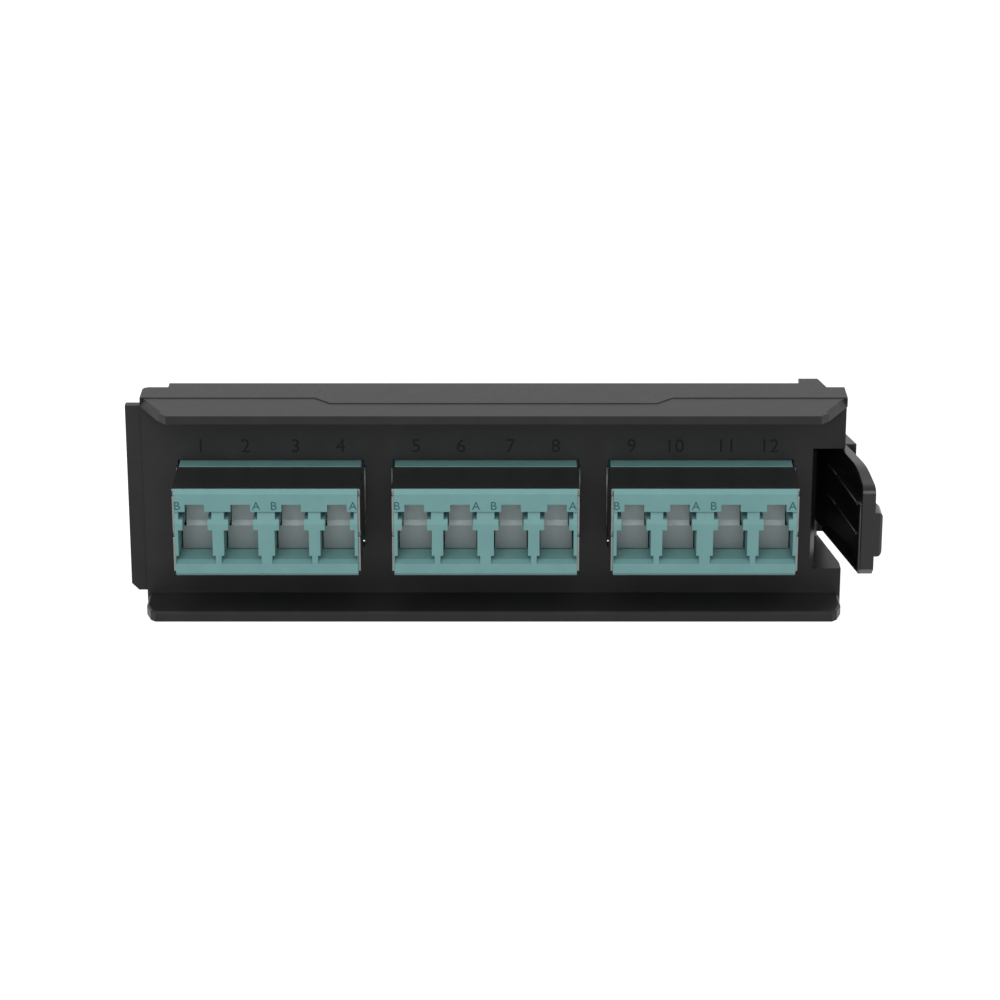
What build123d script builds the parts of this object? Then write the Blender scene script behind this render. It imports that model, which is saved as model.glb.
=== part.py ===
"""Fibre adapter plate: a hooded black faceplate with three quad adapters and a squeeze latch.

Frame: X=0 is the middle of the plate, Y=0 its front face (+Y goes behind it), Z=0 its underside.
Everything is in millimetres. Each separate moulding or pressing is written to a file of its own.
"""
import math
import os

from build123d import *

# Faceplate; its width follows from the adapters and the margin at each end
plate_margin = 5.0
plate_height = 30.3
face_thickness = 2.0

# Hood over the ports and the sill under them
cap_thickness = 1.3
cap_overhang = 0.15
hood_reach = 7.3
hood_corner_start = -0.4
hood_corner = (46.0, -5.85)
hood_front_corner = 44.8
hood_bevel = 0.55
cap_rear_corner = 0.8
sill_thickness = 1.5
sill_reach = 7.4
sill_inset = 0.35
sill_corner = 1.4
sill_edge = 0.25
face_edge = 0.3

# Raised field on top of the cap
field_height = 0.1
step_line = 0.6
field_jog = 2.4
field_jog_outer = 24.85
field_jog_inner = 22.6

# Walls behind the face
rear_reach = 7.1
rear_side_reach = 5.3
rear_step_inset = 3.55
side_wall = 1.5
cap_tab_reach = 2.1
cap_tab_from_edge = 3.45
cap_tab_width = 2.7
cap_tab_slope = 0.95

# Ear on the left end
ear_reach = 2.3
ear_thickness = 1.4
ear_setback = 1.0
ear_corner = 1.0

# Adapters; their widths follow from the ports
adapter_count = 3
adapter_gap = 2.0
adapter_shift = -1.085
adapter_drop = 0.24
adapter_protrusion = 12.0
adapter_half_length = 15.5
body_wall = 0.3
body_height = 12.56
collar_step = 0.125
collar_length = 2.3
flange_lip = 1.35
flange_thickness = 1.5
window_clearance = 0.3
window_height_clearance = 0.17
top_chamfer = 0.6
bottom_chamfer = 0.4

# Ports, measured up from the underside of an adapter
pair_pitch = 6.25
pair_gap_pitch = 6.95
port_floor = 2.15
foot_height = 0.82
foot_width = 5.44
main_width = 4.67
main_height = 4.54
ledge_width = 3.4
ledge_height = 1.56
mid_width = 4.53
mid_height = 1.13
slot_width = 2.65
slot_height = 1.03
groove_height = 1.82
groove_depth = 0.4
lead_in_depth = 1.0
lead_in_height = 0.4
mouth_depth = 4.8
cavity_width = 5.0

# Alignment sleeves and the tubes that hold them
ferrule_height = 2.27
sleeve_length = 6.8
sleeve_bore = 1.25
sleeve_wall = 0.18
sleeve_slit = 0.25
sleeve_play = 0.1
tube_wall = 0.6
tube_margin = 0.25
holder_plate = 1.4
holder_play = 0.05

# Shutters
leaf_thickness = 0.2
leaf_side_gap = 0.3
leaf_clearance = 0.1
tongue_width = 3.3
tongue_setback = 0.25
leaf_height = 3.47
bend_height = 0.73
hinge_height = 7.42
tab_reach = 0.1
tab_height = 0.44
tab_pocket = 0.6
tab_clearance = 0.05

# Spring steel clip round the front of each adapter
sheet = 0.3
clip_clearance = 0.05
clip_front_setback = 0.6
clip_bottom_gap = 0.55
flap_bottom = 3.2
flap_top_gap = 0.7
flap_start = 7.0
flap_flare = 0.8
flap_end_gap = 0.2
flap_spread = 0.25
flap_flare_spread = 0.4
clip_notch = 0.8
clip_notch_height = 5.9

# Latch pocket at the right end; widths and insets are measured in from the plate's right side
notch_floor = 5.1
notch_roof = 23.0
notch_width = 4.45
notch_edge_slope = 0.75
pocket_width = 5.0
pocket_wall = 1.0
pocket_deck = 1.5
pocket_depth = 15.3
pocket_taper_start = 2.35
pocket_rear_inset = 2.35

# Latch lever; points in plan are given as distance outside the plate's right side, then behind its face
pivot_inset = 3.5
pin_setback = 2.3
pin_radius = 0.6
pin_clearance = 0.05
lever_knuckle_radius = 1.3
lever_end_gap = 0.2
lever_wall = 1.35
lever_bottom = 9.0
lever_root_offset = 0.3
lever_root_width = 1.3
lever_knee = (-1.9, 5.5)
lever_waist = (-0.5, 0.0)
lever_shoulder = (0.8, -6.7)
lever_shoulder_width = 1.45
lever_tip = (1.2, -13.0)
lever_tip_width = 1.8
lever_corner = 1.0
lever_brow_drop = 2.2
lever_brow_length = 8.0
lever_brow_middle = (2.0, 0.8)
lever_heel_width = 1.1
lever_heel_bottom = 6.1
lever_rib_height = 0.45
lever_ribs = (14.5, 18.85)
rib_rear = (-1.8, 4.5)
rib_waist = (-1.1, -0.5)
rib_tip = (0.5, -11.4)
rib_root = 0.6
flange_rear = (-2.35, 5.1)
flange_middle = (-0.55, -3.9)
flange_tip = (1.1, -12.3)
rim_width = 0.4
rim_depth = 0.6
catch_nose = (1.85, 2.6)
catch_back = (0.75, 7.1)
catch_heel = (-1.9, 9.9)
catch_root = 0.8
catch_height = 5.0
pad_root = 1.4
pad_reach = 1.1
pad_setback = 0.2
pad_round = 0.8
pad_length = 4.4
pad_bottom = 11.8
pad_top = 18.15

port_reach = pair_gap_pitch / 2 + pair_pitch + cavity_width / 2
body_width = 2 * (port_reach + body_wall)
collar_width = body_width + 2 * collar_step
flange_width = collar_width + 2 * flange_lip
adapter_pitch = flange_width + adapter_gap
leaf_width = cavity_width - 2 * leaf_side_gap
tab_length = cavity_width + 2 * tab_reach
plate_width = adapter_count * flange_width + (adapter_count - 1) * adapter_gap + 2 * plate_margin
half_width = plate_width / 2
cap_bottom = plate_height - cap_thickness
adapter_bottom = (plate_height - body_height) / 2 - adapter_drop
adapter_top = adapter_bottom + body_height
adapter_front = -adapter_protrusion
adapter_middle = adapter_front + adapter_half_length
window_width = collar_width + 2 * window_clearance
notch_left = half_width - notch_width
pocket_inner = half_width - pocket_width
pocket_rear_right = half_width - pocket_rear_inset
pivot_x = half_width - pivot_inset
pivot_y = pocket_depth - pin_setback
lever_root = (-pivot_inset - lever_root_offset, pivot_y)
rim_top = lever_ribs[-1] + lever_rib_height
adapter_xs = [adapter_shift + adapter_pitch * (i - (adapter_count - 1) / 2) for i in range(adapter_count)]
port_offsets = [
    -pair_gap_pitch / 2 - pair_pitch,
    -pair_gap_pitch / 2,
    pair_gap_pitch / 2,
    pair_gap_pitch / 2 + pair_pitch,
]
floor_z = adapter_bottom + port_floor
ferrule_z = floor_z + ferrule_height
hinge_z = floor_z + hinge_height
roof_z = floor_z + main_height + ledge_height + mid_height + slot_height
cavity_front = adapter_front + mouth_depth
leaf_front = cavity_front + leaf_clearance
hinge_y = leaf_front + tongue_setback + leaf_thickness / 2
sleeve_radius = sleeve_bore / 2 + sleeve_wall
tube_bore = 2 * (sleeve_radius + sleeve_play)
tube_radius = tube_bore / 2 + tube_wall
tube_front = adapter_middle - sleeve_length / 2 - sleeve_play / 2 - tube_margin


def block(x0, x1, y0, y1, z0, z1):
    """A box given by its limits."""
    return Pos((x0 + x1) / 2, (y0 + y1) / 2, (z0 + z1) / 2) * Box(abs(x1 - x0), abs(y1 - y0), abs(z1 - z0))


def plan(points, z0, z1):
    """A prism over an outline drawn in plan."""
    return Pos(0, 0, z0) * extrude(make_face(Polyline(*points, close=True)), z1 - z0)


def rod_along(axis, x, y, z, radius, length):
    """A round rod centred on a point, along X, Y or Z."""
    turn = {"X": Rot(0, 90, 0), "Y": Rot(90, 0, 0), "Z": Rot(0, 0, 0)}[axis]
    return Pos(x, y, z) * turn * Cylinder(radius, length)


def corner_bevel():
    """Wedge that slopes the cap's slanting left side, from its lower edge inwards to the top."""
    rear = Vector(-half_width - cap_overhang, -hood_corner_start, 0)
    along = Vector(-hood_corner[0], hood_corner[1], 0) - rear
    section = Plane(origin=rear, x_dir=(along.Y, -along.X, 0), z_dir=along)
    wedge = make_face(section * Polyline(
        (0, -cap_bottom),
        (-hood_bevel, -plate_height),
        (cap_thickness, -plate_height),
        (cap_thickness, -cap_bottom),
        close=True,
    ))
    return extrude(wedge, along.length, dir=along)


def cap():
    """The top wall: hood in front, corner facets, stepped rear edge and the tab over the latch."""
    side = half_width + cap_overhang
    step = side - rear_step_inset
    tab_right = side - cap_tab_from_edge
    tab_left = tab_right - cap_tab_width
    outline = [
        (-side, rear_side_reach - cap_rear_corner),
        (-side, -hood_corner_start),
        (-hood_corner[0], hood_corner[1]),
        (-hood_front_corner, -hood_reach),
        (hood_front_corner, -hood_reach),
        hood_corner,
        (side, -hood_corner_start),
        (side, rear_side_reach),
        (tab_right + cap_tab_slope, rear_side_reach),
        (tab_right, rear_reach + cap_tab_reach),
        (tab_left, rear_reach + cap_tab_reach),
        (tab_left, rear_reach),
        (-step, rear_reach),
        (-step, rear_side_reach),
        (-side + cap_rear_corner, rear_side_reach),
        (-side + cap_rear_corner / 3, rear_side_reach - cap_rear_corner / 3),
    ]
    slab = plan(outline, cap_bottom, plate_height)
    bevel = corner_bevel()
    slab = slab - bevel - bevel.mirror(Plane.YZ)
    low_z = plate_height - field_height
    front_strip = block(-side, side, -hood_reach, step_line, low_z, plate_height + 1)
    jog = [
        (-field_jog_outer, step_line),
        (-field_jog_inner, step_line - field_jog),
        (field_jog_inner, step_line - field_jog),
        (field_jog_outer, step_line),
    ]
    return slab - (front_strip - plan(jog, low_z, plate_height + 1))


def sill():
    """The bottom wall: the shelf in front of the face, with cut corners, and the base behind it."""
    side = half_width - sill_inset
    shelf = plan(
        [
            (-side, 0),
            (-side, -sill_reach + 2 * sill_corner),
            (-side + sill_corner / 2, -sill_reach + sill_corner / 2),
            (-side + sill_corner, -sill_reach),
            (side - sill_corner, -sill_reach),
            (side - sill_corner / 2, -sill_reach + sill_corner / 2),
            (side, -sill_reach + 2 * sill_corner),
            (side, 0),
        ],
        0,
        sill_thickness,
    )
    lip = [edge for edge in shelf.edges().group_by(Axis.Z)[-1] if edge.center().Y < -sill_edge]
    shelf = chamfer(lip, sill_edge)
    base = block(-half_width, half_width, 0, rear_reach, 0, sill_thickness)
    return shelf + base


def pocket_plan():
    """Plan of the latch pocket's decks, narrowing to the back."""
    inner = pocket_inner - pocket_wall
    return [
        (inner, 0),
        (half_width, 0),
        (half_width, pocket_taper_start),
        (pocket_rear_right, pocket_depth),
        (inner, pocket_depth),
    ]


def latch_pocket():
    """The open-sided pocket behind the notch that carries the lever."""
    shell = plan(pocket_plan(), 0, notch_roof + pocket_deck)
    room = block(pocket_inner, half_width + 1, -1, pocket_depth + 1, notch_floor, notch_roof)
    under = block(pocket_inner, pocket_rear_right - side_wall, face_thickness, pocket_depth - side_wall,
                  -1, notch_floor - pocket_deck)
    return shell - room - under


def faceplate():
    """The one black moulding: face, hood, sill, walls, ear and latch pocket."""
    face = block(-half_width, half_width, 0, face_thickness, 0, cap_bottom)
    face = chamfer(face.edges().filter_by(Axis.Z).group_by(Axis.Y)[0], face_edge)
    left_wall = block(-half_width, -half_width + side_wall, 0, rear_side_reach, 0, cap_bottom)
    right_wall = block(half_width - side_wall, half_width, 0, rear_side_reach, notch_roof, cap_bottom)
    ear = block(-half_width - ear_reach, -half_width + side_wall, ear_setback, ear_setback + ear_thickness,
                sill_thickness, cap_bottom)
    ear -= Pos(-half_width - ear_reach, ear_setback, sill_thickness) * Rot(0, 45, 0) * Box(
        ear_corner * math.sqrt(2), 4 * ear_thickness, ear_corner * math.sqrt(2))
    body = face + cap() + sill() + left_wall + right_wall + ear + latch_pocket()
    notch = plan(
        [
            (notch_left, -1),
            (notch_left, 0),
            (notch_left + notch_edge_slope, face_thickness),
            (half_width + 1, face_thickness),
            (half_width + 1, -1),
        ],
        notch_floor,
        notch_roof,
    )
    body -= notch
    window_z0 = adapter_bottom - window_height_clearance
    window_z1 = adapter_top + window_height_clearance
    for x in adapter_xs:
        body -= block(x - window_width / 2, x + window_width / 2, -1, face_thickness + 1, window_z0, window_z1)
    body -= rod_along("Z", pivot_x, pivot_y, notch_roof, pin_radius, 2 * (notch_roof - notch_floor + pocket_deck))
    return body


def port_outline():
    """Stepped mouth of one port, seen from the front, as half-widths going up."""
    steps = [
        (foot_width, foot_height),
        (main_width, main_height - foot_height),
        (ledge_width, ledge_height),
        (mid_width, mid_height),
        (slot_width, slot_height),
    ]
    right = []
    z = floor_z
    for width, rise in steps:
        right.append((width / 2, z))
        z += rise
        right.append((width / 2, z))
    left = [(-x, height) for x, height in reversed(right)]
    return right + left


def across(points, x, width):
    """A prism along X over an outline drawn from the side."""
    side = make_face(Plane.YZ * Polyline(*points, close=True))
    return Pos(x - width / 2, 0, 0) * extrude(side, width, dir=(1, 0, 0))


def port_space(x):
    """All that is hollow in one port: the stepped mouth and the cavity behind it."""
    outline = make_face(Plane.XZ * Polyline(*port_outline(), close=True))
    mouth = Pos(x, adapter_front + mouth_depth, 0) * extrude(outline, mouth_depth + 1, dir=(0, -1, 0))
    lead_in = across([
        (adapter_front, floor_z - lead_in_height),
        (adapter_front + lead_in_depth, floor_z),
        (adapter_front, floor_z),
    ], x, foot_width)
    cavity = block(x - cavity_width / 2, x + cavity_width / 2, cavity_front, adapter_middle, floor_z, roof_z)
    return mouth + lead_in + cavity


def sleeve_holder(x):
    """Insert that holds an adapter's sleeves: a plate with four tubes."""
    reach = port_reach - holder_play
    length = 2 * (adapter_middle - tube_front)
    holder = block(x - reach, x + reach, adapter_middle - holder_plate / 2, adapter_middle + holder_plate / 2,
                   floor_z + holder_play, roof_z - holder_play)
    for offset in port_offsets:
        tube = rod_along("Y", x + offset, adapter_middle, ferrule_z, tube_radius, length)
        bore = rod_along("Y", x + offset, adapter_middle, ferrule_z, tube_bore / 2, length + 1)
        holder = holder + tube - bore
    return holder


def tab_space(x):
    """Pockets either side of a port in which its shutter's tabs turn."""
    reach = tab_length / 2 + tab_clearance
    half = tab_pocket / 2
    return block(x - reach, x + reach, hinge_y - half, hinge_y + half, hinge_z - half, hinge_z + half)


def housing_half(x, with_shutters):
    """Front half of an adapter's moulded body; the rear half is its mirror image without shutters."""
    shell = block(x - body_width / 2, x + body_width / 2, adapter_front, adapter_middle, adapter_bottom, adapter_top)
    edges = shell.edges().filter_by(Axis.X).group_by(Axis.Y)[0].sort_by(Axis.Z)
    shell = chamfer(edges[-1], top_chamfer)
    shell = chamfer(shell.edges().filter_by(Axis.X).group_by(Axis.Y)[0].sort_by(Axis.Z)[0], bottom_chamfer)
    collar = block(x - collar_width / 2, x + collar_width / 2, -collar_length, adapter_middle, adapter_bottom, adapter_top)
    flange = block(x - flange_width / 2, x + flange_width / 2, adapter_middle - flange_thickness, adapter_middle,
                   adapter_bottom, adapter_top)
    shell = shell + collar + flange
    if with_shutters:
        groove_top = roof_z - slot_height
        shell -= across([
            (adapter_front, groove_top - groove_height),
            (adapter_front + groove_depth, groove_top),
            (adapter_front, groove_top),
        ], x, collar_width)
        clip_seat = sheet + clip_clearance
        shell -= block(x - body_width, x + body_width, adapter_front + clip_front_setback, -collar_length,
                       adapter_top - clip_seat, adapter_top + 1)
    shell -= block(x - port_reach, x + port_reach, adapter_middle - holder_plate / 2, adapter_middle, floor_z, roof_z)
    for offset in port_offsets:
        shell -= port_space(x + offset)
        if with_shutters:
            shell -= tab_space(x + offset)
    return shell


def rear_half(front_half):
    """The matching piece behind an adapter's middle."""
    return front_half.mirror(Plane.XZ.offset(-adapter_middle))


def sleeve(x):
    """Split ceramic sleeve that lines two ferrules up."""
    ring = rod_along("Y", x, adapter_middle, ferrule_z, sleeve_radius, sleeve_length)
    ring -= rod_along("Y", x, adapter_middle, ferrule_z, sleeve_bore / 2, sleeve_length + 1)
    return ring - block(x - sleeve_slit / 2, x + sleeve_slit / 2, adapter_middle - sleeve_length,
                        adapter_middle + sleeve_length, ferrule_z, ferrule_z + 2 * sleeve_radius)


def shutter(x):
    """Hinged dust shutter: flat leaf, a set-back tongue and the tabs it turns on."""
    leaf_top = floor_z + leaf_height
    bend_top = leaf_top + bend_height
    leaf_back = leaf_front + leaf_thickness
    tongue_front = leaf_front + tongue_setback
    tongue_back = tongue_front + leaf_thickness
    leaf = block(x - leaf_width / 2, x + leaf_width / 2, leaf_front, leaf_back, floor_z + leaf_clearance, leaf_top)
    tongue = across([
        (leaf_front, leaf_top),
        (leaf_back, leaf_top),
        (tongue_back, bend_top),
        (tongue_back, hinge_z),
        (tongue_front, hinge_z),
        (tongue_front, bend_top),
    ], x, tongue_width)
    tabs = block(x - tab_length / 2, x + tab_length / 2, tongue_front, tongue_back, hinge_z - tab_height / 2,
                 hinge_z + tab_height / 2)
    return leaf + tongue + tabs


def clip_side(x, hand):
    """One side of the clip with its flap, sprung outwards to hold the plate; hand is -1 or 1."""
    inner = body_width / 2
    outer = inner + sheet
    front = adapter_front + clip_front_setback
    bottom = adapter_bottom + clip_bottom_gap
    top = adapter_top - clip_clearance
    flap_z0 = adapter_bottom + flap_bottom
    flap_z1 = adapter_top - flap_top_gap
    wall = block(x + hand * inner, x + hand * outer, front, -flap_start, bottom, top)
    strip = block(x + hand * inner, x + hand * outer, -flap_start, -collar_length, bottom, flap_z0 - sheet)
    flap = plan(
        [
            (x + hand * inner, -flap_start),
            (x + hand * outer, -flap_start),
            (x + hand * (outer + flap_spread), -flap_flare),
            (x + hand * (outer + flap_flare_spread), -flap_end_gap),
            (x + hand * (inner + flap_flare_spread), -flap_end_gap),
            (x + hand * (inner + flap_spread), -flap_flare),
        ],
        flap_z0,
        flap_z1,
    )
    notch_z = adapter_bottom + clip_notch_height
    notch = block(x + hand * (inner - 1), x + hand * (outer + 1), front - 1, front + clip_notch,
                  notch_z - clip_notch / 2, notch_z + clip_notch / 2)
    relief = block(x + hand * (inner - 1), x + hand * (outer + 1), front - 1, front + clip_notch,
                   top - sheet - clip_notch, top - sheet)
    return wall + strip + flap - notch - relief


def clip(x):
    """Bent spring-steel clip: a top plate and two sides."""
    top_plate = block(x - body_width / 2 - sheet, x + body_width / 2 + sheet, adapter_front + clip_front_setback,
                      -collar_length, adapter_top - clip_clearance - sheet, adapter_top - clip_clearance)
    return top_plate + clip_side(x, -1) + clip_side(x, 1)


def beside(point, distance):
    """A point of the lever's plan moved outwards."""
    return (point[0] + distance, point[1])


def lever_wall_plan():
    """Plan of the lever's curved wall, from the knuckle to the front end."""
    inner = Spline(lever_root, lever_knee, lever_waist, lever_shoulder, lever_tip)
    outer = Spline(
        beside(lever_tip, lever_tip_width),
        beside(lever_shoulder, lever_shoulder_width),
        beside(lever_waist, lever_wall),
        beside(lever_knee, lever_wall),
        beside(lever_root, lever_root_width),
    )
    return make_face(inner + Line(inner @ 1, outer @ 0) + outer + Line(outer @ 1, inner @ 0))


def lever_side_trim():
    """Side view of the lever, which rounds its front corners."""
    front = lever_tip[1]
    top = notch_roof - lever_end_gap
    rear = pivot_y + 2 * lever_knuckle_radius
    brow_start = (front, top - lever_brow_drop)
    brow_middle = (front + lever_brow_middle[0], top - lever_brow_middle[1])
    brow_end = (front + lever_brow_length, top)
    brow = Spline(brow_start, brow_middle, brow_end, tangents=[(0, 1), (1, 0)])
    rest = Polyline(
        brow_end,
        (rear, top),
        (rear, lever_bottom),
        (front + lever_corner, lever_bottom),
        (front, lever_bottom + lever_corner),
        brow_start,
    )
    side = Plane.YZ * make_face(brow + rest)
    return Pos(-notch_width, 0, 0) * extrude(side, plate_width / 2, dir=(1, 0, 0))


def lever_rib(edge, z0, z1):
    """One stiffening rib along the lever's inner side, given by its free edge."""
    root = [beside((lever_shoulder[0], edge[-1][1]), 2 * rib_root)]
    root += [beside(point, rib_root) for point in (lever_shoulder, lever_waist, lever_knee)]
    return plan(list(edge) + root, z0, z1)


def lever_rim():
    """Small upright bead inside the lever's front edge."""
    x, y = lever_tip
    bead = [(x - rim_width, y + rim_depth), (x + rim_width / 4, y), (x + rim_width, y + rim_depth)]
    return plan(bead, lever_bottom, rim_top)


def lever_heel():
    """Foot of the lever beside its knuckle, which closes the pocket's open side."""
    x = lever_knuckle_radius - pivot_inset
    return block(x - lever_root_width / 2, x + lever_heel_width, pivot_y - lever_knuckle_radius / 2,
                 pivot_y + lever_knuckle_radius, lever_heel_bottom, notch_roof - lever_end_gap)


def finger_pad():
    """The pad outside the lever's tip, rounded at its rear corner."""
    pad_out = lever_tip[0] + lever_tip_width + pad_reach
    front = lever_tip[1] + pad_setback
    rear = lever_tip[1] + pad_length
    pad = plan(
        [
            (lever_tip[0] + pad_root, front),
            (pad_out - pad_round / 2, front),
            (pad_out, front + pad_round / 2),
            (pad_out, rear - pad_round),
            (pad_out - pad_round, rear),
            (lever_shoulder[0] + pad_root, rear),
        ],
        pad_bottom,
        pad_top,
    )
    outer = [edge for edge in pad.edges().filter_by(Axis.Y) if edge.center().X > pad_out - pad_round / 4]
    return fillet(outer, pad_round * 0.9)


def latch_lever():
    """The latch lever: knuckle, curved wall, ribs, catch and finger pad, built from the plate's right side."""
    top = notch_roof - lever_end_gap
    wall = Pos(0, 0, lever_bottom) * extrude(lever_wall_plan(), top - lever_bottom)
    ribs = lever_rib((flange_rear, flange_middle, flange_tip), lever_bottom, lever_bottom + lever_rib_height)
    for z in lever_ribs:
        ribs += lever_rib((rib_rear, rib_waist, rib_tip), z, z + lever_rib_height)
    nose_root = (lever_waist[0] + catch_root, catch_nose[1])
    heel_root = (lever_knee[0] + lever_wall / 4, lever_knee[1])
    catch = plan([nose_root, catch_nose, catch_back, catch_heel, heel_root], top - catch_height, top)
    lever = (wall + ribs + lever_rim() + catch) & lever_side_trim()
    knuckle_z0 = notch_floor + lever_end_gap
    knuckle = rod_along("Z", -pivot_inset, pivot_y, (knuckle_z0 + top) / 2, lever_knuckle_radius, top - knuckle_z0)
    bore = rod_along("Z", -pivot_inset, pivot_y, (knuckle_z0 + top) / 2, pin_radius + pin_clearance, plate_height)
    return Pos(half_width, 0, 0) * (lever + finger_pad() + lever_heel() + knuckle - bore)


def latch_pin():
    """Steel pin through the pocket's two decks and the lever's knuckle."""
    z0 = notch_floor - pocket_deck
    z1 = notch_roof + pocket_deck
    return rod_along("Z", pivot_x, pivot_y, (z0 + z1) / 2, pin_radius, z1 - z0)


def write(name, shape):
    """Write one piece to its own file."""
    export_step(shape, f"parts/{name}.step")
    print(name, round(shape.volume, 2), shape.bounding_box())


def main():
    """Build and write every piece."""
    os.makedirs("parts", exist_ok=True)
    write("faceplate", faceplate())
    write("latch_lever", latch_lever())
    write("latch_pin", latch_pin())
    port = 0
    for number, x in enumerate(adapter_xs, start=1):
        write(f"adapter_{number}_front_housing", housing_half(x, True))
        write(f"adapter_{number}_rear_housing", rear_half(housing_half(x, False)))
        write(f"adapter_{number}_sleeve_holder", sleeve_holder(x))
        write(f"adapter_{number}_clip", clip(x))
        for offset in port_offsets:
            port += 1
            write(f"port_{port:02d}_shutter", shutter(x + offset))
            write(f"port_{port:02d}_sleeve", sleeve(x + offset))


main()
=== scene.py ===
"""Looks of the fibre adapter plate: finishes, printed marks, light and camera."""
import math

import bmesh
import bpy
from mathutils import Matrix, Vector


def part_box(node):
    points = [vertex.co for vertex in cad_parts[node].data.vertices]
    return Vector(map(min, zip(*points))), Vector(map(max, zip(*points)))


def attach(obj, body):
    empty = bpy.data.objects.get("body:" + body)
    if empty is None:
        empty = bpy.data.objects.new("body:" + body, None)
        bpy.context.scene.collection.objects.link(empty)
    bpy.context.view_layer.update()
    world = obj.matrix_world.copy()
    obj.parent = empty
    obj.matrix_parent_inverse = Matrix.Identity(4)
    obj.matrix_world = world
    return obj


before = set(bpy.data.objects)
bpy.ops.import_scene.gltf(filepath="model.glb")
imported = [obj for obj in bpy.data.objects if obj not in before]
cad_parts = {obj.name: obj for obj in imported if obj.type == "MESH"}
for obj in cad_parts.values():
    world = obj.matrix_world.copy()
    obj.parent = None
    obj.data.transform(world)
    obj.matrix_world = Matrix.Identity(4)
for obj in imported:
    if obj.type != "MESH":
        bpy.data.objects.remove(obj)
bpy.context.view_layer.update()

MM = 0.001
ADAPTERS = 3
PORTS_PER_ADAPTER = 4

# Camera: 20 degrees above level, looking straight along the plate's depth
CAMERA_PLACE = (0.88 * MM, -430.0 * MM, 171.9 * MM)
CAMERA_PITCH = 20.0
CAMERA_LENS = 117.54
CAMERA_SENSOR = 36.0

# Light
SKY_STRENGTH = 0.55
KEY_WATTS = 2.7
KEY_PLACE = (-0.05, -0.55, 0.38)
KEY_TARGET = (0.0, 0.0, 0.015)
KEY_SIZE = 0.5
BACKDROP_STRENGTH = 1.0
WHITE = (1.0, 1.0, 1.0, 1.0)
FLOOR_GLOW = 0.9
FLOOR_COLOUR = (0.4, 0.4, 0.4, 1.0)
FLOOR_REACH = 6.0
FLOOR_ROUGHNESS = 0.9

# Printed marks
NUMBER_HEIGHT = 1.95 * MM
NUMBER_CENTRE_Z = 23.45 * MM
MARK_HEIGHT = 1.15 * MM
MARK_CENTRE_Z = 18.9 * MM
LEFT_MARK_OFFSET = 2.35 * MM
RIGHT_MARK_OFFSET = 2.17 * MM
PRINT_DEPTH = 0.02 * MM
PRINT_CURVE_STEPS = 4

# Curled rear lips of the clips' flaps
LIP_RADIUS = 0.17 * MM
LIP_INSET = 0.2 * MM
LIP_BOTTOM_Z = 11.9 * MM
LIP_TOP_Z = 20.4 * MM
LIP_Y = -0.62 * MM

# Rounded free edges of the lever's ribs and of the bead at its tip, in plan
RIB_EDGE_RADIUS = 0.07 * MM
RIB_EDGE = (
    (47.4 * MM, 3.1 * MM),
    (47.9 * MM, -0.5 * MM),
    (49.5 * MM, -11.4 * MM),
    (50.15 * MM, -12.6 * MM),
)
RIB_EDGE_HEIGHTS = (14.95 * MM, 19.3 * MM)
BEAD_EDGE = (49.98 * MM, -12.9 * MM)
BEAD_BOTTOM_Z = 9.7 * MM
BEAD_TOP_Z = 19.2 * MM
ROD_SIDES = 12

# Finish: rounding of edges, depth of the surface's grain, and its features per metre
EDGE_RADIUS = 0.12 * MM
LEVER_EDGE_RADIUS = 0.25 * MM
SHEET_EDGE_RADIUS = 0.08 * MM
BLACK_GRAIN_DEPTH = 0.03 * MM
AQUA_GRAIN_DEPTH = 0.02 * MM
ROLLED_GRAIN_DEPTH = 0.01 * MM
BLACK_CLOUD_SCALE = 260.0
BLACK_GRAIN_SCALE = 5200.0
AQUA_CLOUD_SCALE = 330.0
AQUA_GRAIN_SCALE = 6500.0
ROLLED_LINE_SCALE = 900.0
ROLLED_STRETCH = (1.0, 14.0, 1.0)
CERAMIC_CLOUD_SCALE = 900.0
INK_CLOUD_SCALE = 2500.0
INK_SHADE = 0.8

# Parts of a noise texture's 0 to 1 range that a finish is spread over
NOISE_LOW = 0.3
NOISE_HIGH = 0.7
TINT_LOW = 0.35
TINT_HIGH = 0.65


def srgb(red, green, blue):
    """A linear colour from 0 to 255 screen values."""
    def linear(value):
        c = value / 255
        return c / 12.92 if c <= 0.04045 else ((c + 0.055) / 1.055) ** 2.4
    return (linear(red), linear(green), linear(blue), 1.0)


def new_material(name):
    """An empty node material and its shader, with the output already joined."""
    material = bpy.data.materials.new(name)
    material.use_nodes = True
    tree = material.node_tree
    shader = tree.nodes["Principled BSDF"]
    return material, tree, shader


def noise(tree, scale, detail=3.0, roughness=0.5):
    """A noise texture in the object's own coordinates; scale is in features per metre."""
    coordinates = tree.nodes.new("ShaderNodeTexCoord")
    texture = tree.nodes.new("ShaderNodeTexNoise")
    texture.inputs["Scale"].default_value = scale
    texture.inputs["Detail"].default_value = detail
    texture.inputs["Roughness"].default_value = roughness
    tree.links.new(coordinates.outputs["Object"], texture.inputs["Vector"])
    return texture


def spread(tree, source, low, high):
    """Maps a 0 to 1 value to a range."""
    node = tree.nodes.new("ShaderNodeMapRange")
    node.inputs["From Min"].default_value = NOISE_LOW
    node.inputs["From Max"].default_value = NOISE_HIGH
    node.inputs["To Min"].default_value = low
    node.inputs["To Max"].default_value = high
    tree.links.new(source, node.inputs["Value"])
    return node.outputs["Result"]


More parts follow.
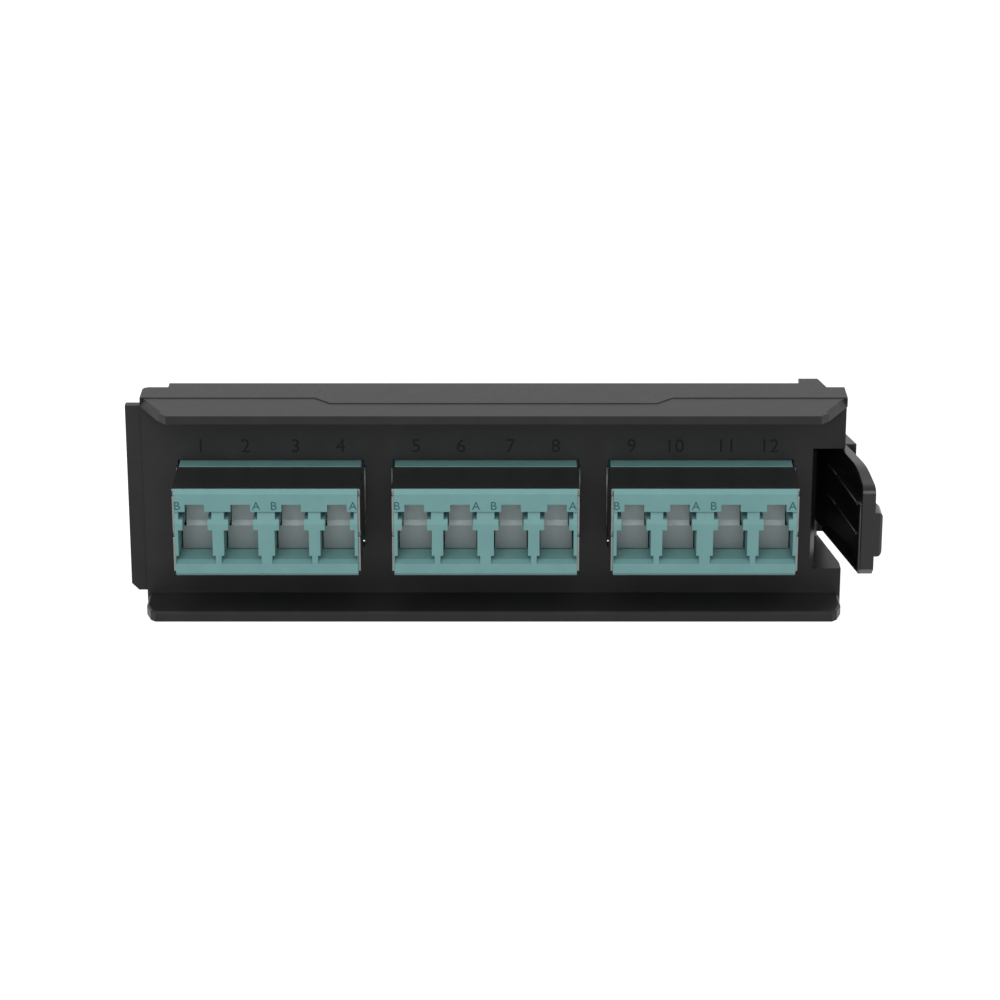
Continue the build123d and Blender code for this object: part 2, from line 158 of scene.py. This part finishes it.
def tint(tree, source, dark, light):
    """A colour that wanders between two near shades."""
    ramp = tree.nodes.new("ShaderNodeValToRGB")
    ramp.color_ramp.elements[0].position = TINT_LOW
    ramp.color_ramp.elements[0].color = dark
    ramp.color_ramp.elements[1].position = TINT_HIGH
    ramp.color_ramp.elements[1].color = light
    tree.links.new(source, ramp.inputs["Fac"])
    return ramp.outputs["Color"]


def surface(tree, shader, source, strength, distance, edge_radius):
    """Adds a fine bump to a shader and rounds its edges."""
    edge = tree.nodes.new("ShaderNodeBevel")
    edge.inputs["Radius"].default_value = edge_radius
    bump = tree.nodes.new("ShaderNodeBump")
    bump.inputs["Strength"].default_value = strength
    bump.inputs["Distance"].default_value = distance
    tree.links.new(source, bump.inputs["Height"])
    tree.links.new(edge.outputs["Normal"], bump.inputs["Normal"])
    tree.links.new(bump.outputs["Normal"], shader.inputs["Normal"])


def black_plastic(name, dark, light, low_rough, high_rough, specular, grain, edge_radius):
    """Moulded black plastic with a fine spark-eroded grain and slightly rounded edges."""
    material, tree, shader = new_material(name)
    cloud = noise(tree, BLACK_CLOUD_SCALE)
    fine = noise(tree, BLACK_GRAIN_SCALE, detail=2.0)
    tree.links.new(tint(tree, cloud.outputs["Fac"], dark, light), shader.inputs["Base Color"])
    tree.links.new(spread(tree, fine.outputs["Fac"], low_rough, high_rough), shader.inputs["Roughness"])
    shader.inputs["Specular IOR Level"].default_value = specular
    surface(tree, shader, fine.outputs["Fac"], grain, BLACK_GRAIN_DEPTH, edge_radius)
    return material


def aqua_plastic(name):
    """Satin aqua moulding, very slightly mottled."""
    material, tree, shader = new_material(name)
    cloud = noise(tree, AQUA_CLOUD_SCALE)
    fine = noise(tree, AQUA_GRAIN_SCALE, detail=2.0)
    tree.links.new(tint(tree, cloud.outputs["Fac"], srgb(106, 149, 149), srgb(110, 154, 153)),
                   shader.inputs["Base Color"])
    tree.links.new(spread(tree, fine.outputs["Fac"], 0.42, 0.52), shader.inputs["Roughness"])
    shader.inputs["Specular IOR Level"].default_value = 0.36
    surface(tree, shader, fine.outputs["Fac"], 0.12, AQUA_GRAIN_DEPTH, EDGE_RADIUS)
    return material


def rolled_metal(name, dark, light, low_rough, high_rough):
    """Bright sheet metal with faint lines along the way it was rolled."""
    material, tree, shader = new_material(name)
    coordinates = tree.nodes.new("ShaderNodeTexCoord")
    stretch = tree.nodes.new("ShaderNodeMapping")
    stretch.inputs["Scale"].default_value = ROLLED_STRETCH
    lines = tree.nodes.new("ShaderNodeTexNoise")
    lines.inputs["Scale"].default_value = ROLLED_LINE_SCALE
    lines.inputs["Detail"].default_value = 4.0
    tree.links.new(coordinates.outputs["Object"], stretch.inputs["Vector"])
    tree.links.new(stretch.outputs["Vector"], lines.inputs["Vector"])
    tree.links.new(tint(tree, lines.outputs["Fac"], dark, light), shader.inputs["Base Color"])
    tree.links.new(spread(tree, lines.outputs["Fac"], low_rough, high_rough), shader.inputs["Roughness"])
    shader.inputs["Metallic"].default_value = 1.0
    surface(tree, shader, lines.outputs["Fac"], 0.05, ROLLED_GRAIN_DEPTH, SHEET_EDGE_RADIUS)
    return material


def ceramic(name):
    """Polished white zirconia."""
    material, tree, shader = new_material(name)
    cloud = noise(tree, CERAMIC_CLOUD_SCALE)
    tree.links.new(tint(tree, cloud.outputs["Fac"], srgb(236, 234, 226), srgb(244, 243, 238)),
                   shader.inputs["Base Color"])
    tree.links.new(spread(tree, cloud.outputs["Fac"], 0.12, 0.2), shader.inputs["Roughness"])
    return material


def ink(name, colour):
    """Printed ink, a little uneven."""
    material, tree, shader = new_material(name)
    cloud = noise(tree, INK_CLOUD_SCALE)
    darker = tuple(INK_SHADE * c for c in colour[:3]) + (1.0,)
    tree.links.new(tint(tree, cloud.outputs["Fac"], darker, colour), shader.inputs["Base Color"])
    tree.links.new(spread(tree, cloud.outputs["Fac"], 0.5, 0.65), shader.inputs["Roughness"])
    shader.inputs["Specular IOR Level"].default_value = 0.2
    return material


def dress(node, material):
    """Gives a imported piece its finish."""
    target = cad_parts[node]
    target.data.materials.clear()
    target.data.materials.append(material)


def glyphs(name, marks, height, face_y, material):
    """Flat characters on a plane that faces the front; marks holds (text, x, z) for each."""
    whole = bmesh.new()
    for text, x, z in marks:
        curve = bpy.data.curves.new(name, "FONT")
        curve.body = text
        curve.align_x = "CENTER"
        curve.size = 1.0
        curve.resolution_u = PRINT_CURVE_STEPS
        letter = bpy.data.objects.new(name, curve)
        bpy.context.scene.collection.objects.link(letter)
        bpy.context.view_layer.update()
        evaluated = letter.evaluated_get(bpy.context.evaluated_depsgraph_get())
        mesh = bpy.data.meshes.new_from_object(evaluated)
        xs = [v.co.x for v in mesh.vertices]
        ys = [v.co.y for v in mesh.vertices]
        scale = height / (max(ys) - min(ys))
        middle = Vector(((max(xs) + min(xs)) / 2, (max(ys) + min(ys)) / 2))
        for vertex in mesh.vertices:
            flat_x = (vertex.co.x - middle.x) * scale
            flat_y = (vertex.co.y - middle.y) * scale
            vertex.co = Vector((x + flat_x, face_y, z + flat_y))
        whole.from_mesh(mesh)
        bpy.data.objects.remove(letter)
        bpy.data.meshes.remove(mesh)
    lift = Vector((0, -PRINT_DEPTH, 0))
    made = bmesh.ops.extrude_face_region(whole, geom=whole.faces[:])
    front = [part for part in made["geom"] if isinstance(part, bmesh.types.BMVert)]
    bmesh.ops.translate(whole, vec=lift, verts=front)
    bmesh.ops.recalc_face_normals(whole, faces=whole.faces[:])
    mesh = bpy.data.meshes.new(name)
    whole.to_mesh(mesh)
    whole.free()
    piece = bpy.data.objects.new(name, mesh)
    bpy.context.scene.collection.objects.link(piece)
    mesh.materials.append(material)
    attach(piece, "plate")


def rods(name, lines, radius, material, body):
    """Thin round rods along straight lines, as one piece that moves with a body."""
    whole = bmesh.new()
    for start, end in lines:
        along = Vector(end) - Vector(start)
        middle = (Vector(start) + Vector(end)) / 2
        made = bmesh.ops.create_cone(whole, cap_ends=True, segments=ROD_SIDES, radius1=radius, radius2=radius,
                                     depth=along.length)
        place = Matrix.Translation(middle) @ along.to_track_quat("Z", "Y").to_matrix().to_4x4()
        bmesh.ops.transform(whole, matrix=place, verts=made["verts"])
    mesh = bpy.data.meshes.new(name)
    whole.to_mesh(mesh)
    whole.free()
    for polygon in mesh.polygons:
        polygon.use_smooth = True
    piece = bpy.data.objects.new(name, mesh)
    bpy.context.scene.collection.objects.link(piece)
    mesh.materials.append(material)
    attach(piece, body)


def curl_lips():
    """Curled rear edges of the clips' flaps: real rounded edges, coloured much lighter than the clips' steel
    as a painted highlight.
    """
    # Painted highlight: this steel is far lighter than the clip steel, so each lip shows as a light line
    steel = rolled_metal("lip_painted_highlight_steel", srgb(198, 197, 194), srgb(212, 211, 208), 0.4, 0.5)
    for adapter in range(1, ADAPTERS + 1):
        low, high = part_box(f"adapter_{adapter}_clip")
        sides = (low.x + LIP_INSET, high.x - LIP_INSET)
        lines = [((x, LIP_Y, LIP_BOTTOM_Z), (x, LIP_Y, LIP_TOP_Z)) for x in sides]
        rods(f"clip_{adapter}_lips", lines, LIP_RADIUS, steel, "plate")


def edge_ribs():
    """Rounded free edges of the lever's ribs and of the bead at its tip: real rounded edges, coloured a grey
    much lighter than the lever's black as painted highlight lines.
    """
    # Painted highlight: a grey far lighter than the lever's own black, so the rib edges read as light lines
    painted_highlight_black = black_plastic("rib_edge_painted_highlight", srgb(58, 58, 59), srgb(64, 64, 65), 0.2, 0.28, 0.5, 0.02,
                          EDGE_RADIUS)
    lines = [((*BEAD_EDGE, BEAD_BOTTOM_Z), (*BEAD_EDGE, BEAD_TOP_Z))]
    for height in RIB_EDGE_HEIGHTS:
        for start, end in zip(RIB_EDGE, RIB_EDGE[1:]):
            lines.append(((*start, height), (*end, height)))
    rods("lever_rib_edges", lines, RIB_EDGE_RADIUS, painted_highlight_black, "lever")


def port_centres():
    """X of each port, from its shutter, in order."""
    centres = []
    for port in range(1, ADAPTERS * PORTS_PER_ADAPTER + 1):
        low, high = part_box(f"port_{port:02d}_shutter")
        centres.append((low.x + high.x) / 2)
    return centres


def make_camera():
    """The photograph's camera."""
    data = bpy.data.cameras.new("camera")
    data.lens = CAMERA_LENS
    data.sensor_width = CAMERA_SENSOR
    camera = bpy.data.objects.new("camera", data)
    camera.location = CAMERA_PLACE
    camera.rotation_euler = (math.radians(90 - CAMERA_PITCH), 0, 0)
    bpy.context.scene.collection.objects.link(camera)
    bpy.context.scene.camera = camera


def seen_directly(tree):
    """1 for rays that show the background itself: camera, mirror and see-through rays."""
    rays = tree.nodes.new("ShaderNodeLightPath")
    either = tree.nodes.new("ShaderNodeMath")
    either.operation = "MAXIMUM"
    any_ray = tree.nodes.new("ShaderNodeMath")
    any_ray.operation = "MAXIMUM"
    tree.links.new(rays.outputs["Is Camera Ray"], either.inputs[0])
    tree.links.new(rays.outputs["Is Glossy Ray"], either.inputs[1])
    tree.links.new(either.outputs[0], any_ray.inputs[0])
    tree.links.new(rays.outputs["Is Transmission Ray"], any_ray.inputs[1])
    return any_ray.outputs[0]


def make_world():
    """A plain white studio all round."""
    world = bpy.data.worlds.new("studio")
    bpy.context.scene.world = world
    world.use_nodes = True
    tree = world.node_tree
    light = tree.nodes["Background"]
    light.inputs["Color"].default_value = WHITE
    light.inputs["Strength"].default_value = SKY_STRENGTH
    backdrop = tree.nodes.new("ShaderNodeBackground")
    backdrop.inputs["Color"].default_value = WHITE
    backdrop.inputs["Strength"].default_value = BACKDROP_STRENGTH
    mix = tree.nodes.new("ShaderNodeMixShader")
    tree.links.new(seen_directly(tree), mix.inputs["Fac"])
    tree.links.new(light.outputs[0], mix.inputs[1])
    tree.links.new(backdrop.outputs[0], mix.inputs[2])
    tree.links.new(mix.outputs[0], tree.nodes["World Output"].inputs["Surface"])


def make_floor():
    """A pale floor that glows enough to read as white and still takes the object's shadow."""
    mesh = bpy.data.meshes.new("floor")
    corners = [(x * FLOOR_REACH, y * FLOOR_REACH, 0) for x, y in ((-1, -1), (1, -1), (1, 1), (-1, 1))]
    mesh.from_pydata(corners, [], [(0, 1, 2, 3)])
    floor = bpy.data.objects.new("floor", mesh)
    bpy.context.scene.collection.objects.link(floor)
    material, tree, shader = new_material("floor_paint")
    shader.inputs["Base Color"].default_value = FLOOR_COLOUR
    shader.inputs["Roughness"].default_value = FLOOR_ROUGHNESS
    shader.inputs["Specular IOR Level"].default_value = 0.0
    glow = tree.nodes.new("ShaderNodeMath")
    glow.operation = "MULTIPLY"
    glow.inputs[1].default_value = FLOOR_GLOW
    tree.links.new(seen_directly(tree), glow.inputs[0])
    tree.links.new(glow.outputs[0], shader.inputs["Emission Strength"])
    shader.inputs["Emission Color"].default_value = WHITE
    mesh.materials.append(material)


def make_key_light():
    """One large soft lamp above and in front."""
    data = bpy.data.lights.new("key", "AREA")
    data.energy = KEY_WATTS
    data.size = KEY_SIZE
    lamp = bpy.data.objects.new("key", data)
    lamp.location = KEY_PLACE
    beam = Vector(KEY_TARGET) - Vector(KEY_PLACE)
    lamp.rotation_euler = beam.to_track_quat("-Z", "Y").to_euler()
    bpy.context.scene.collection.objects.link(lamp)


def dress_pieces():
    """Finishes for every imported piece."""
    matt_black = black_plastic("matt_black", srgb(34, 34, 35), srgb(38, 38, 39), 0.36, 0.46, 0.2, 0.2,
                               EDGE_RADIUS)
    gloss_black = black_plastic("gloss_black", srgb(16, 16, 17), srgb(20, 20, 21), 0.14, 0.22, 0.36, 0.05,
                                LEVER_EDGE_RADIUS)
    aqua = aqua_plastic("aqua")
    steel = rolled_metal("clip_steel", srgb(118, 125, 123), srgb(130, 136, 134), 0.28, 0.38)
    leaf = rolled_metal("leaf_metal", srgb(124, 133, 133), srgb(130, 139, 139), 0.5, 0.6)
    ground = rolled_metal("pin_metal", srgb(170, 170, 172), srgb(190, 190, 192), 0.15, 0.25)
    white = ceramic("zirconia")
    dress("faceplate", matt_black)
    dress("latch_lever", gloss_black)
    dress("latch_pin", ground)
    for adapter in range(1, ADAPTERS + 1):
        dress(f"adapter_{adapter}_front_housing", aqua)
        dress(f"adapter_{adapter}_rear_housing", aqua)
        dress(f"adapter_{adapter}_sleeve_holder", aqua)
        dress(f"adapter_{adapter}_clip", steel)
    for port in range(1, ADAPTERS * PORTS_PER_ADAPTER + 1):
        dress(f"port_{port:02d}_shutter", leaf)
        dress(f"port_{port:02d}_sleeve", white)


def print_marks():
    """Numbers on the face above the ports, and letters beside the ports' slots."""
    centres = port_centres()
    numbers = [(str(i), x, NUMBER_CENTRE_Z) for i, x in enumerate(centres, start=1)]
    number_ink = ink("number_ink", srgb(15, 13, 14))
    glyphs("face_numbers", numbers, NUMBER_HEIGHT, 0.0, number_ink)
    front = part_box("adapter_1_front_housing")[0].y
    letters = []
    for i, x in enumerate(centres):
        if i % 2 == 0:
            letters.append(("B", x - LEFT_MARK_OFFSET, MARK_CENTRE_Z))
        else:
            letters.append(("A", x + RIGHT_MARK_OFFSET, MARK_CENTRE_Z))
    letter_ink = ink("letter_ink", srgb(56, 94, 100))
    glyphs("port_letters", letters, MARK_HEIGHT, front, letter_ink)


bpy.context.scene.view_settings.view_transform = "Standard"
make_camera()
make_world()
make_floor()
make_key_light()
dress_pieces()
print_marks()
curl_lips()
edge_ribs()
